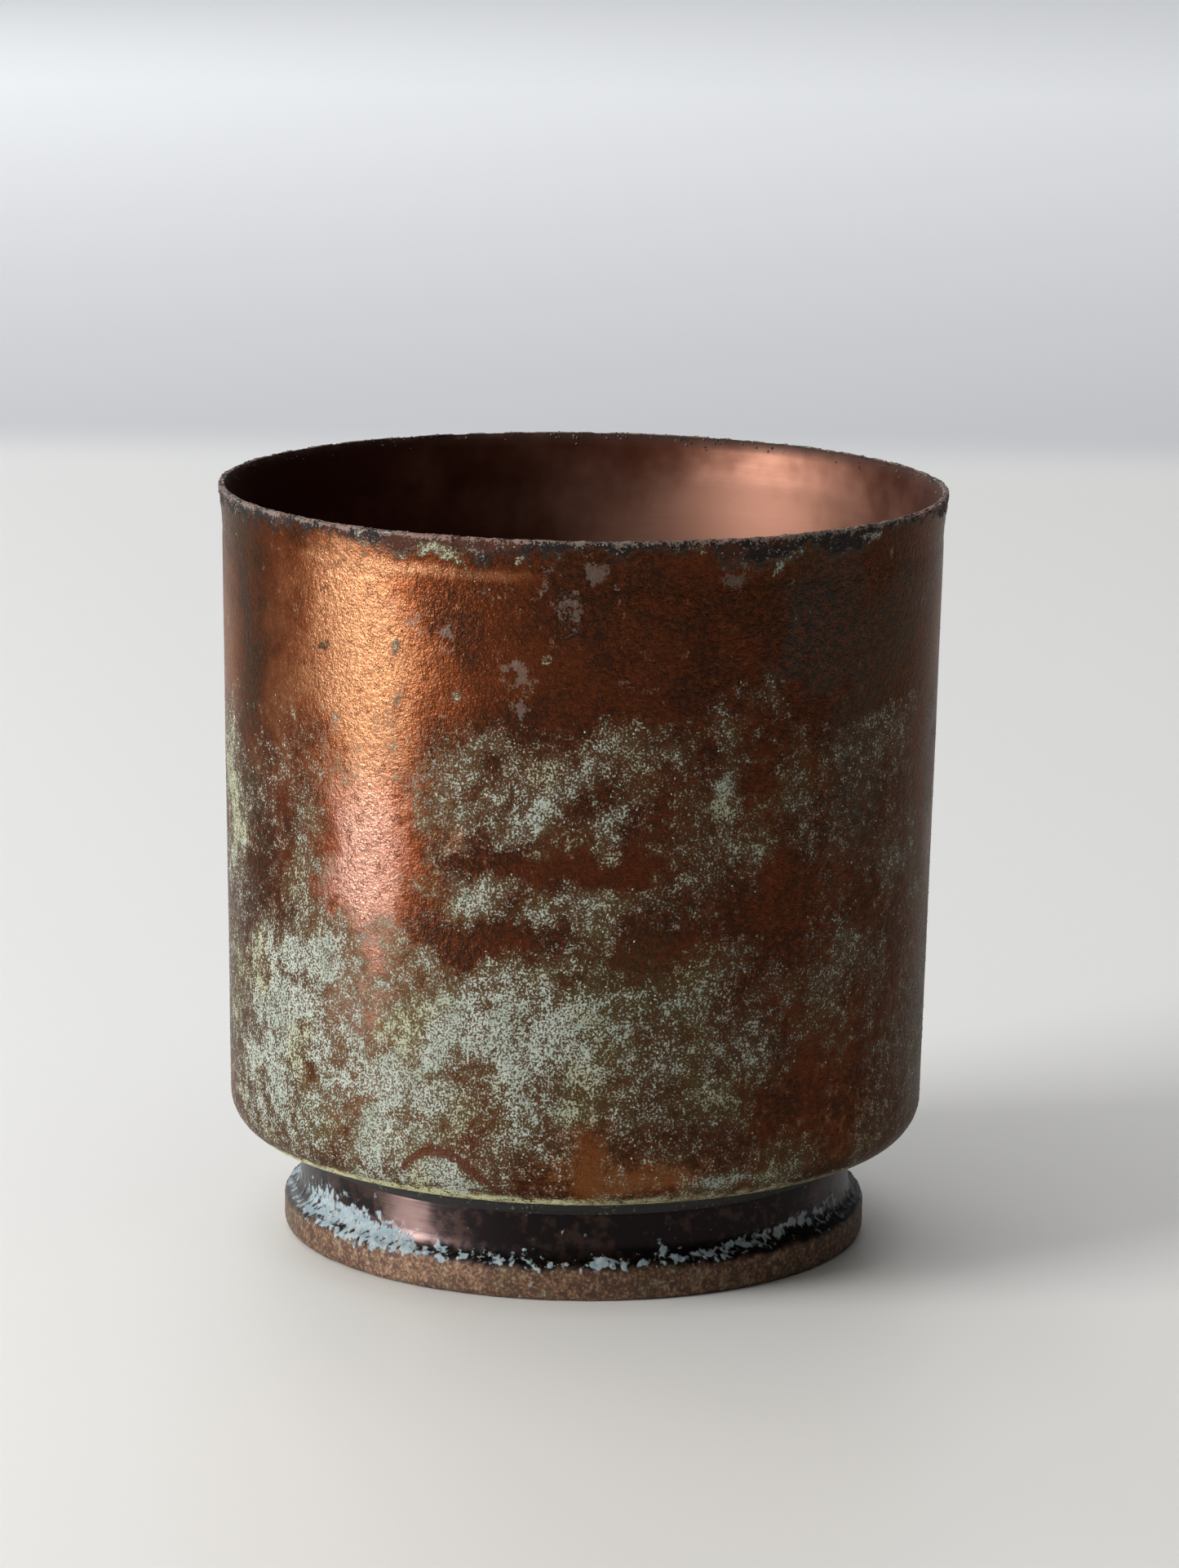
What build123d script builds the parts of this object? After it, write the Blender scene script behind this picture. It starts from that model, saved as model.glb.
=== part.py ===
from build123d import *

import os
from math import radians, tan

# A footed copper pot: a straight-sided cup spun from one disc of sheet copper, soft-soldered
# to a low flared foot ring spun from a second disc. The mouth is a raw cut edge, bent very
# slightly outwards. The pot stands on the hem of its foot. Nothing on it moves.
#
# Frame: Z is the axis of the pot and points out of the mouth. The origin is the centre of
# the circle that the foot stands on. Millimetres.

# Cup
cup_sheet = 0.8
mouth_radius = 50.0
pot_height = 104.5
lip_height = 4.5
shoulder_radius = 49.5
heel_radius = 48.0
heel_bend = 5.3
lip_bend = 14.0
underside_height = 12.9
flat_radius = 37.0
flat_bend = 6.0
underside_slope = 13.0
cut_edge_round = 0.2

# Foot ring
foot_sheet = 0.9
neck_radius = 38.3
skirt_radius = 40.5
flange_inner_radius = 31.0
neck_bend = 1.4
cove_top = 5.9
cove_bottom = 4.7
cove_bend = 2.3
shoulder_bend = 1.3
hem_width = 2.9
hem_height = 3.3
hem_bend = 1.15

# Solder between the two
solder_film = 0.15
inner_bead = 0.9
outer_bead_drop = 1.5
outer_bead_reach = 1.1
outer_bead_hollow = 0.25

flange_height = underside_height - solder_film


def underside_at(radius):
    """Height of the cup's sloping underside at a radius outside the flat."""
    return underside_height + (radius - flat_radius) * tan(radians(underside_slope))


# The cup: base, heel, wall and lip are one sheet, so its section is one line with a thickness.
with BuildPart() as vessel_body:
    with BuildSketch(Plane.XZ) as cup_section:
        with BuildLine():
            cup_skin = FilletPolyline(
                (0, underside_height),
                (flat_radius, underside_height),
                (heel_radius, underside_at(heel_radius)),
                (shoulder_radius, pot_height - lip_height),
                (mouth_radius, pot_height),
                radius=[flat_bend, heel_bend, lip_bend],
            )
            offset(cup_skin, amount=cup_sheet, side=Side.LEFT)
        make_face()
    revolve(axis=Axis.Z)
    rim_circles = vessel_body.edges().filter_by(GeomType.CIRCLE).group_by(Axis.Z)[-1]
    fillet(rim_circles, cut_edge_round)
vessel_body.part.label = "vessel_body"


# The foot: a flange under the cup, a short neck, a cove out to the skirt, and a hem rolled
# up inside the skirt, again all one sheet.
with BuildPart() as foot_ring:
    with BuildSketch(Plane.XZ) as foot_section:
        with BuildLine():
            foot_skin = FilletPolyline(
                (flange_inner_radius, flange_height),
                (neck_radius, flange_height),
                (neck_radius, cove_top),
                (skirt_radius, cove_bottom),
                (skirt_radius, 0),
                (skirt_radius - hem_width, 0),
                (skirt_radius - hem_width, hem_height),
                radius=[neck_bend, cove_bend, shoulder_bend, hem_bend, hem_bend],
            )
            offset(foot_skin, amount=foot_sheet, side=Side.RIGHT)
        make_face()
    revolve(axis=Axis.Z)
foot_ring.part.label = "foot_ring"


# The solder: a thin film over the flange with a small bead inside and a hollow fillet
# outside, in the wedge between the neck and the cup. Its outline runs through the middle of
# both sheets, and what lies in them is cut away, so that it meets them face to face.
bead_outer_radius = neck_radius + outer_bead_reach
upper_toe = (bead_outer_radius, underside_at(bead_outer_radius))
lower_toe = (neck_radius, underside_height - outer_bead_drop)
mid_flange_height = flange_height - foot_sheet / 2
with BuildPart() as solder_joint:
    with BuildSketch(Plane.XZ):
        with BuildLine():
            Polyline(
                lower_toe,
                (neck_radius - foot_sheet / 2, underside_height - outer_bead_drop),
                (neck_radius - foot_sheet / 2, flange_height - neck_bend),
                (neck_radius - neck_bend, mid_flange_height),
                (flange_inner_radius, mid_flange_height),
                (flange_inner_radius - inner_bead, underside_height),
                (flat_radius, underside_height + cup_sheet / 2),
                upper_toe,
            )
            SagittaArc(upper_toe, lower_toe, outer_bead_hollow)
        make_face()
        add(cup_section.sketch, mode=Mode.SUBTRACT)
        add(foot_section.sketch, mode=Mode.SUBTRACT)
    revolve(axis=Axis.Z)
solder_joint.part.label = "solder_joint"


os.makedirs("parts", exist_ok=True)
for piece in (vessel_body, foot_ring, solder_joint):
    export_step(piece.part, f"parts/{piece.part.label}.step")
    print(piece.part.label, piece.part.bounding_box().size, round(piece.part.volume, 1))
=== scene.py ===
from cmath import exp, phase
from math import cos, pi, radians, sin, tan

import bpy
import numpy as np
from mathutils import Euler, Matrix, Vector, noise


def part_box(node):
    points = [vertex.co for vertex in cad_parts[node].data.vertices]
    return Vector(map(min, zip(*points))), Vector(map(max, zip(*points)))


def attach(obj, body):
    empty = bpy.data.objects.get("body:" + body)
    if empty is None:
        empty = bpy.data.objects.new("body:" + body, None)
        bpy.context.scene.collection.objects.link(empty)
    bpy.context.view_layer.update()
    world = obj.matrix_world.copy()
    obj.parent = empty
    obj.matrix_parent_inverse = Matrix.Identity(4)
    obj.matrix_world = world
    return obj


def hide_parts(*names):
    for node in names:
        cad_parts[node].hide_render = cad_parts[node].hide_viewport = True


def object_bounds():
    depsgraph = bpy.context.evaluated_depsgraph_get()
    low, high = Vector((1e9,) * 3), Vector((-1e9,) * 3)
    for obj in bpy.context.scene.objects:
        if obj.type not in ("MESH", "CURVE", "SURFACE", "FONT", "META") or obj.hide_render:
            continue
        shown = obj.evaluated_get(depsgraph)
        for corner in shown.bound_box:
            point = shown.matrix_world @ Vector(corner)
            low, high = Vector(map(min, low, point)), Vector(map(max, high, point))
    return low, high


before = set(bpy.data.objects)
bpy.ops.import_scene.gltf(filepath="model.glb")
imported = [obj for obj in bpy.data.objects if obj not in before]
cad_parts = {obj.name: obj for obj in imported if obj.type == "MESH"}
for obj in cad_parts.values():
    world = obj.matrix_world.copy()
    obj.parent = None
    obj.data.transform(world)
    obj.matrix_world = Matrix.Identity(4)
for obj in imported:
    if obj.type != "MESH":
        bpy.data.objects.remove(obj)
cad_low, cad_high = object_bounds()

# An old spun copper pot on a soldered foot ring. The sheet metal is turned in mesh code from
# its section, in millimetres, with its wear, crust and dents as real relief. What the surface
# carries from place to place (verdigris, rim crust, stains, and some painted highlights,
# painted reflections and painted shade) is worked out once for each point and kept on the
# mesh as attributes, which the finishes read. Loose grains of verdigris and scale are
# scattered by Geometry Nodes.
#
# Angles go round the pot in degrees: 0 faces the camera (-Y) and 90 is +X. A point of a
# section is a complex number, radius + height * 1j.

MM = 0.001
FULL_TURN = 360.0

cup_low, cup_high = (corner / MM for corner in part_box("vessel_body"))
foot_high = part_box("foot_ring")[1] / MM
solder_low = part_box("solder_joint")[0] / MM

# Cup
MOUTH_RADIUS = cup_high.x
POT_HEIGHT = cup_high.z
BASE_HEIGHT = cup_low.z
CUP_SHEET = 0.8
LIP_HEIGHT = 4.5
EDGE_RISE = 0.07
SHOULDER_RADIUS = MOUTH_RADIUS - 0.5
HEEL_RADIUS = MOUTH_RADIUS - 2.0
HEEL_HEIGHT = BASE_HEIGHT + 2.54
LOW_EDGE_HEIGHT = HEEL_HEIGHT - 0.3
FLAT_RADIUS = 37.0
CUP_BENDS = (6.0, 5.3, 14.0)
CUP_EDGE_ROUND = 0.2
LIP_ZONE = POT_HEIGHT - EDGE_RISE - 6.5
LIP_CREASE = 0.07
LIP_CREASE_HEIGHT = 98.3
# Height of a painted highlight band just under the rim
LIP_HIGHLIGHT_HEIGHT = 99.7
SPINNING_RING_PITCH = 4.4
NICK_DEPTH = 0.26

# Foot ring
FOOT_SHEET = 0.9
SKIRT_RADIUS = foot_high.x
FLANGE_HEIGHT = foot_high.z
FLANGE_INNER_RADIUS = 31.0
NECK_RADIUS = 38.3
COVE_TOP = 5.9
COVE_BOTTOM = 4.7
HEM_WIDTH = 2.9
HEM_HEIGHT = 3.3
FOOT_BENDS = (1.15, 1.15, 1.3, 2.3, 1.4)
FOOT_EDGE_ROUND = 0.2

# Solder
UNDERSIDE_SLOPE = tan(radians(13.0))
NECK_BEND = FOOT_BENDS[-1]
SOLDER_REACH = 1.1
SOLDER_TUCK = 0.05
SOLDER_INNER_BEAD = 0.9
SOLDER_FILM_MIDDLE = 35
SOLDER_FILM_HALF = 3.5

# Points round a whole row, from the coarsest to the finest. Rows double from one to the next.
ROW_64, ROW_128, ROW_256, ROW_512, ROW_1024 = (64 * 2 ** step for step in range(5))

OUTSIDE, EDGE, INSIDE = 0, 1, 2


# ---------------------------------------------------------------- sections of bent sheet

def bent_line(corners, bends, arc_points=24):
    """Straight runs joined by tangent arcs, one bend radius for each inner corner."""
    line = [corners[0]]
    for before, corner, after, bend in zip(corners, corners[1:], corners[2:], bends):
        back = (before - corner) / abs(before - corner)
        onward = (after - corner) / abs(after - corner)
        half = abs(phase(onward / back)) / 2
        middle = (back + onward) / abs(back + onward)
        centre = corner + middle * bend / sin(half)
        start = corner + back * bend / tan(half) - centre
        turn = phase((corner + onward * bend / tan(half) - centre) / start)
        shares = np.linspace(0, 1, arc_points)
        line.extend(centre + start * exp(1j * turn * share) for share in shares)
    line.append(corners[-1])
    return np.array(line)


def heading(line):
    """Unit direction of travel at each point of a line."""
    way = np.gradient(line.real) + 1j * np.gradient(line.imag)
    return way / abs(way)


def along(line, spacing, trim_start=0.0, trim_end=0.0):
    """Points on a line, spacing(point) apart, with a little cut off each end."""
    run = np.concatenate(([0.0], np.cumsum(abs(np.diff(line)))))
    places = [trim_start]
    last = run[-1] - trim_end
    while places[-1] < last:
        places.append(places[-1] + spacing(np.interp(places[-1], run, line)))
    places = trim_start + (np.array(places) - trim_start) * (last - trim_start) / (
        places[-1] - trim_start)
    return np.interp(places, run, line)


def cut_edge(start, end, rise, count=6):
    """The rounded cut edge of a sheet, between the ends of its two skins."""
    turns = np.linspace(0, pi, count + 2)[1:-1]
    out = -1j * (end - start) / abs(end - start)
    return start + (end - start) * (0.5 - 0.5 * np.cos(turns)) + out * rise * np.sin(turns) ** 0.4


def sheet_section(corners, bends, sheet, edge_round, spacing, back_spacing):
    """The outline of a bent sheet as [(side, points)]: its skin, the cut edge at the skin's
    end, its back, and the cut edge at the start if the sheet doesn't begin on the axis."""
    skin = bent_line(corners, bends)
    back = (skin + 1j * heading(skin) * sheet)[::-1]
    on_axis = abs(corners[0].real) < edge_round
    start_trim = 0.0 if on_axis else edge_round
    outer = along(skin, spacing, start_trim, edge_round)
    inner = along(back, back_spacing, edge_round, start_trim)
    outline = [(OUTSIDE, outer), (EDGE, cut_edge(outer[-1], inner[0], edge_round))]
    outline.append((INSIDE, inner))
    if not on_axis:
        outline.append((EDGE, cut_edge(inner[-1], outer[0], edge_round)))
    return outline


# ---------------------------------------------------------------- turning a section

class Skin:
    """Every point of a turned piece, row after row, before its relief is added."""

    def __init__(self, outline, around):
        line = np.concatenate([points for side, points in outline])
        sides = np.concatenate([np.full(len(points), side) for side, points in outline])
        self.closed = line[0].real > 1.0
        way = heading(line)
        if self.closed:
            way = heading(np.concatenate((line[-3:], line, line[:3])))[3:-3]
        self.counts = self.row_counts(line, sides, around)
        spread = [np.arange(count) / count * FULL_TURN - FULL_TURN / 2 for count in self.counts]
        self.angle = np.concatenate(spread)
        self.line = np.repeat(line, self.counts)
        self.normal = np.repeat(-1j * way, self.counts)
        self.side = np.repeat(sides, self.counts)
        self.radius = self.line.real
        self.height = self.line.imag
        self.points = self.place(self.line)

    def row_counts(self, line, sides, around):
        """Points in each row: what around() asks for, changing by no more than half or double."""
        counts = [around(point, side) for point, side in zip(line, sides)]
        for step in (1, -1):
            order = range(len(counts))[::step]
            for before, here in zip(order, order[1:]):
                if counts[before] > 1 and counts[here] > 1:
                    counts[here] = min(counts[here], counts[before] * 2)
        return counts

    def place(self, line):
        turn = np.radians(self.angle)
        return np.stack((line.real * np.sin(turn), -line.real * np.cos(turn), line.imag), 1)

    def faces(self):
        starts = np.concatenate(([0], np.cumsum(self.counts)))
        rows = [np.arange(start, start + count) for start, count in zip(starts, self.counts)]
        pairs = list(zip(rows, rows[1:]))
        if self.closed:
            pairs.append((rows[-1], rows[0]))
        faces = []
        for lower, upper in pairs:
            faces.extend(stitch(lower, upper))
        return faces


def stitch(lower, upper):
    """Faces between two rows: equal rows, one row with twice as many points, or a pole."""
    n, m = len(lower), len(upper)
    if n == 1:
        return [(lower[0], upper[(i + 1) % m], upper[i]) for i in range(m)]
    if m == 1:
        return [(lower[i], lower[(i + 1) % n], upper[0]) for i in range(n)]
    faces = []
    for i in range(min(n, m)):
        j = (i + 1) % min(n, m)
        if n == m:
            faces.append((lower[i], lower[j], upper[j], upper[i]))
        elif m > n:
            faces.append((lower[i], upper[2 * i + 1], upper[2 * i]))
            faces.append((lower[i], lower[j], upper[2 * i + 1]))
            faces.append((lower[j], upper[2 * j], upper[2 * i + 1]))
        else:
            faces.append((lower[2 * i], lower[2 * i + 1], upper[i]))
            faces.append((lower[2 * i + 1], upper[j], upper[i]))
            faces.append((lower[2 * i + 1], lower[2 * j], upper[j]))
    return faces


def turned_piece(name, skin, relief, limit_radius, limit_height, masks, finishes, finish_of):
    """A mesh object from a skin and its relief along the normals, kept inside the CAD's size."""
    line = skin.line + skin.normal * relief
    line = np.minimum(line.real, limit_radius) + 1j * np.clip(line.imag, 0, limit_height)
    mesh = bpy.data.meshes.new(name)
    faces = skin.faces()
    mesh.from_pydata(skin.place(line) * MM, [], faces)
    for mask, values in masks.items():
        mesh.attributes.new(mask, "FLOAT", "POINT").data.foreach_set("value", values)
    for finish in finishes:
        mesh.materials.append(finish)
    first = np.array([face[0] for face in faces])
    mesh.polygons.foreach_set("material_index", finish_of[first].astype(np.int32))
    mesh.shade_smooth()
    mesh.validate()
    piece = bpy.data.objects.new(name, mesh)
    bpy.context.scene.collection.objects.link(piece)
    return piece


# ---------------------------------------------------------------- soft masks round the pot

def clouds(points, size, seed, octaves=3):
    """Soft noise from about -1 to 1 at each point, with blobs about size millimetres across."""
    shift = Vector((seed * 17.3, seed * 5.9, seed * 11.1))
    return np.array([noise.fractal(Vector(p) / size + shift, 1.0, 2.0, octaves) for p in points])


def ease(values, low, high):
    """0 below low, 1 above high, and smooth between. low may be above high."""
    share = np.clip((values - low) / (high - low), 0, 1)
    return share * share * (3 - 2 * share)


def patches(angle, height, marks, radius):
    """The sum of soft ovals. A mark is (angle, height, half width, half height, tilt, strength),
    in degrees and millimetres, and a positive tilt lifts its right-hand end."""
    total = np.zeros_like(angle)
    for at, level, half_width, half_height, tilt, strength in marks:
        gap = (angle - at + FULL_TURN / 2) % FULL_TURN - FULL_TURN / 2
        across, up = np.radians(gap) * radius, height - level
        lean = radians(tilt)
        long = (across * cos(lean) + up * sin(lean)) / half_width
        short = (up * cos(lean) - across * sin(lean)) / half_height
        total += strength * np.exp(-long ** 2 - short ** 2)
    return total


# Marks on the cup's wall, each list for one stain; some marks are painted light, noted at their
# lists. Angles below -90 or above 90 are the back.
VERDIGRIS_MARKS = [
    (-75, 61, 5, 12, 0, 0.70), (-68, 56, 3, 5, 0, 0.40), (-60, 44, 5, 6, 0, 0.40),
    (-47, 47, 5, 6, 0, 0.45), (-54, 38, 6, 7, 0, 0.50), (-56, 25, 10, 6, 0, 0.50),
    (-20.5, 17.5, 5.0, 2.2, 0, 0.75), (-34, 28, 11, 9, 0, 0.40), (-63, 30, 12, 13, 0, 0.38),
    (-42, 36, 6, 9, 0, 0.30), (-14, 39, 14, 9, 0, 0.55), (-24, 30, 9, 9, 0, 0.30),
    (-1, 41, 11, 8, 0, 0.28), (-3, 27, 11, 6, 0, 0.26), (-46, 58, 6, 13, 0, 0.26),
    (-37, 48, 6, 9, 0, 0.16), (-20, 42, 6, 6, 0, 0.25), (-13, 76.5, 3.0, 4.8, -40, 0.75),
    (-18, 70, 5, 8, 0, 0.36), (-8, 66, 6, 5, 0, 0.20), (-3, 70.5, 6.5, 1.6, 38, 0.70),
    (5.5, 65.5, 4.6, 1.8, 42, 0.60), (9, 70, 5, 4, 0, 0.20), (-17, 56.5, 4.0, 2.4, 0, 0.65),
    (-6, 55, 3, 1.5, 20, 0.30), (3, 56, 6.0, 2.4, 14, 0.55), (14, 58, 5, 3.0, 0, 0.28),
    (23, 71, 1.8, 7, 0, 0.50), (25, 63, 4, 4, -30, 0.30), (7, 77, 13, 2.6, 0, 0.34),
    (27, 83.5, 6.0, 1.2, 0, 0.22), (36, 66, 4.0, 7, 0, 0.24), (18, 44, 9, 4, 20, 0.30),
    (24, 33, 10, 6, 15, 0.28), (45, 45, 4.5, 7, 20, 0.36), (66, 57, 5, 5, 30, 0.40),
    (60, 72, 3, 9, 20, 0.20), (-33, 20, 3.0, 3.5, 0, 0.50), (-21, 19.5, 3.6, 1.8, 0, 0.75),
    (26, 17.5, 6, 1.3, 0, 0.80), (88, 33, 12, 10, 0, 0.45), (97, 62, 8, 11, 15, 0.40),
    (112, 44, 10, 7, 0, 0.45), (130, 70, 7, 6, -30, 0.50), (138, 30, 15, 8, 0, 0.50),
    (152, 52, 5, 11, 0, 0.35), (171, 68, 9, 5, 25, 0.55), (178, 36, 14, 10, 0, 0.50),
    (200, 57, 4, 9, 0, 0.35), (214, 29, 12, 8, 0, 0.50), (222, 70, 8, 5, -20, 0.45),
    (238, 48, 7, 12, 0, 0.45), (258, 34, 11, 9, 0, 0.45), (266, 71, 6, 6, 0, 0.35),
]
BARE_MARKS = [
    (-16, 50.3, 6.0, 2.4, 6, 0.75), (-4, 61, 14, 1.5, 0, 0.70), (-35, 62, 7, 16, 0, 0.25),
    (2, 24, 1.5, 5, 0, 0.5), (34, 31, 11, 11, 0, 0.18), (54, 25, 10, 8, 0, 0.20),
    (9, 49, 6, 1.8, 16, 0.38), (32, 52, 7, 4, -20, 0.35), (150, 63, 9, 4, 10, 0.5),
    (190, 50, 11, 3, -12, 0.6), (240, 62, 9, 4, 0, 0.5),
]
# Worn copper. The first two marks sit on the front left where the window reflects and shape its
# highlight there, so they are partly a painted highlight.
COPPER_AND_HIGHLIGHT_MARKS = [
    (-38, 92, 7.0, 14, 0, 0.90), (-35, 62, 7, 26, 0, 0.80), (-15, 88, 12, 12, 0, 0.26),
    (-54, 82, 8, 24, 0, 0.46), (-76, 82, 8, 24, 0, 0.50), (-27, 84, 5, 16, 0, 0.20),
    (-40, 35, 9, 14, 0, 0.35), (12, 94, 9, 4, 0, 0.20), (26, 84, 6, 2.5, 10, 0.16),
    (92, 88, 14, 9, 0, 0.55), (125, 84, 10, 12, 0, 0.45), (158, 93, 22, 8, 0, 0.70),
    (170, 52, 8, 14, 0, 0.45), (208, 86, 12, 14, 0, 0.75), (246, 92, 16, 8, 0, 0.60),
    (250, 60, 9, 18, 0, 0.50), (275, 84, 9, 12, 0, 0.45),
]
# Dark grey oxide. The first mark, a thin upright stripe at -67 degrees, is a painted dark reflection,
# not oxide.
SLATE_AND_DARK_REFLECTION_MARKS = [
    (-67, 88, 2.2, 15, 0, 0.90), (-80, 96, 3.0, 6, 0, 0.40), (38, 93, 9, 9, 0, 0.85),
    (50, 82, 9, 16, 0, 0.50), (62, 92, 7, 9, 0, 0.65), (6, 60, 15, 3, 0, 0.10),
    (47, 62, 12, 16, 0, 0.40), (-44.5, 87.5, 1.3, 1.5, -40, 0.90), (76, 70, 6, 20, 0, 0.60),
    (110, 92, 7, 8, 0, 0.80), (146, 78, 9, 9, 0, 0.60), (188, 96, 8, 7, 0, 0.70),
    (228, 88, 6, 12, 0, 0.70), (262, 74, 7, 10, 0, 0.50),
]
FILM_MARKS = [
    (-9.5, 87, 3.0, 1.7, -25, 0.9), (-9, 82, 1.4, 1.6, 0, 0.8), (-2.5, 95, 2.4, 5.0, 20, 0.55),
    (5.5, 96.5, 0.35, 3.0, 0, 0.8), (-20, 92, 1.4, 1.8, 0, 0.55), (-6, 99, 2.6, 0.8, 60, 0.6),
    (2, 100.5, 1.6, 1.6, 0, 1.0), (24, 99.5, 2.4, 1.6, 0, 0.8), (-27, 80, 5, 7, 0, 0.32),
    (-25, 92, 5, 3, -30, 0.36), (8, 86, 6, 3, 0, 0.32), (120, 92, 4, 2, 20, 0.8),
    (168, 88, 2.5, 3.5, 0, 0.8), (205, 95, 4, 2, -30, 0.7), (250, 90, 2, 3, 0, 0.8),
]
RUST_MARKS = [
    (9, 18.8, 12, 3.4, 0, 1.0), (2, 24, 3.0, 5.0, 0, 0.7), (52, 23, 9, 5, 0, 0.38),
    (-16, 56.8, 1.2, 0.8, 0, 0.9), (-19, 64, 3, 2, 0, 0.6), (30, 30, 9, 6, 0, 0.20),
    (100, 22, 16, 4, 0, 0.8), (160, 20, 10, 4, 0, 0.7), (225, 21, 14, 4, 0, 0.8),
    (280, 22, 9, 4, 0, 0.6), (150, 47, 6, 3, 0, 0.5),
]
LIME_MARKS = [
    (-25, 102.3, 4.0, 1.3, -4, 1.0), (-33, 103.6, 5.0, 0.6, 0, 0.7), (-12, 103.7, 4.0, 0.5, 0, 0.5),
    (14, 103.4, 3.0, 0.8, 0, 0.6), (33, 102.6, 3.0, 1.0, 0, 0.6), (50, 103.4, 4.0, 0.7, 0, 0.6),
    (84, 102.8, 4.0, 1.0, 0, 0.8), (128, 103.0, 5.0, 1.2, 0, 0.8), (170, 102.4, 3.5, 1.3, 0, 0.9),
    (212, 103.3, 5.0, 0.8, 0, 0.7), (252, 102.6, 3.5, 1.2, 0, 0.8), (283, 103.5, 4.0, 0.6, 0, 0.6),
]
# Rosy patches inside the cup. The first, large on the back right, is a painted highlight where the
# window reflects.
ROSY_AND_HIGHLIGHT_MARKS = [
    (144, 75, 26, 60, 0, 0.9), (168, 84, 11, 11, 0, 0.40), (60, 40, 12, 20, 0, 0.5),
    (-30, 30, 10, 14, 0, 0.4),
]
TRACK_START, TRACK_END = -28.5, -11.5
TRACK_FOOT, TRACK_RISE, TRACK_WIDTH = 18.5, 4.2, 0.55
TIDE_HEIGHT = 80.0
TIDE_HUMP, TIDE_HUMP_ANGLE, TIDE_HUMP_WIDTH = 4.5, 27, 7.0
FAINT_TIDE_ANGLE, FAINT_TIDE_WIDTH = -52, 22
# Where the painted highlight under the rim lies round the pot
LIP_HIGHLIGHT_ANGLE, LIP_HIGHLIGHT_WIDTH = -26, 20


def hill(values, middle, width, power=2):
    """1 at the middle and 0 well past width. A higher power makes a flatter top."""
    return np.exp(-((values - middle) / width) ** power)


def tide_line(angle):
    """Height up to which water once stood and left its verdigris."""
    turn = np.radians(angle)
    ripples = 1.0 * np.sin(3 * turn + 1.3) + 0.8 * np.sin(7 * turn)
    return TIDE_HEIGHT + ripples + TIDE_HUMP * hill(angle, TIDE_HUMP_ANGLE, TIDE_HUMP_WIDTH, 4)


def worm_track(angle, height):
    """A thin brown line that arches over a patch low on the front."""
    share = np.clip((angle - TRACK_START) / (TRACK_END - TRACK_START), 0, 1)
    arch = TRACK_FOOT + TRACK_RISE * np.sin(pi * share ** 0.8) - 2.4 * share
    half = (TRACK_END - TRACK_START) / 2
    ends = ease(abs(angle - TRACK_START - half), half + 0.6, half - 0.6)
    return hill(height, arch, TRACK_WIDTH, 4) * ends


def wall_verdigris(skin, marked, drift, fray):
    """Verdigris on the outside: in clumps below the tide line, and in a few spots at the lip."""
    under_tide = tide_line(skin.angle) + fray * 1.8 + drift * 1.6 - skin.height
    softness = 0.8 + 7.0 * ease(clouds(skin.points * (1, 1, 0), 30.0, 8, 2), 0.0, 0.45)
    softness += 8.0 * hill(skin.angle, FAINT_TIDE_ANGLE, FAINT_TIDE_WIDTH, 4)
    below = ease(under_tide / softness, -0.5, 1.2)
    clump = clouds(skin.points, 4.5, 4)
    grown = 0.12 + 0.09 * ease(skin.height, 62.0, 30.0)
    grown += 0.92 * marked(VERDIGRIS_MARKS) * (1.0 + 0.9 * clump)
    grown += 0.10 * clump + 0.20 * clouds(skin.points, 13.0, 7, 2)
    grown += 0.16 * hill(under_tide, 0.8, 0.7)
    grown -= 0.8 * marked(BARE_MARKS)
    at_lip = ease(marked(LIME_MARKS) + 0.5 * fray, 0.25, 0.75)
    return np.maximum(np.clip(grown, 0, 1) * below, at_lip)


def floor_residue(skin, drift):
    """What dried up low inside the pot: a ring round the floor, and blotches above it."""
    ring = ease(skin.radius + drift * 6.0, 33.0, 38.0)
    ring *= ease(skin.height + drift * 4.0, 30.0, 18.0)
    blotches = ease(clouds(skin.points, 12.0, 9, 3), 0.1, 0.6) * ease(skin.height, 40.0, 16.0)
    return 0.55 * ring + 0.35 * blotches


def heel_deposit_and_bounce_light(skin, drift, fray):
    """A yellow-green deposit along the low edge of the wall, made pale as painted bounce light from
    the table on this downward-facing edge, and stronger on the left half.
    """
    height = skin.height + 0.35 * fray
    deposit_and_bounce_band = ease(height, LOW_EDGE_HEIGHT + 1.2, LOW_EDGE_HEIGHT + 0.4)
    deposit_and_bounce_band *= np.where(skin.radius > NECK_RADIUS + 2, 1.0, 0.0)
    return deposit_and_bounce_band * (0.35 + 0.65 * ease(skin.angle + 8 * drift, 20.0, -5.0))


def rim_masks(skin):
    """The black scale of the rim, and the wider singe under it."""
    depth = 1.8 + 1.9 * clouds(skin.points * (1, 1, 0.2), 9.0, 5)
    depth += 1.4 * clouds(skin.points * (1, 1, 0.3), 2.4, 6)
    under_rim = POT_HEIGHT - skin.height
    outer = ease(under_rim - np.maximum(depth, 0.7), 0.5, -0.5)
    crust = np.where(skin.side == INSIDE, ease(under_rim, 1.6, 0.4), outer)
    return crust, ease(under_rim - 1.5 * np.maximum(depth, 0.9), 1.6, -1.0)


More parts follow.
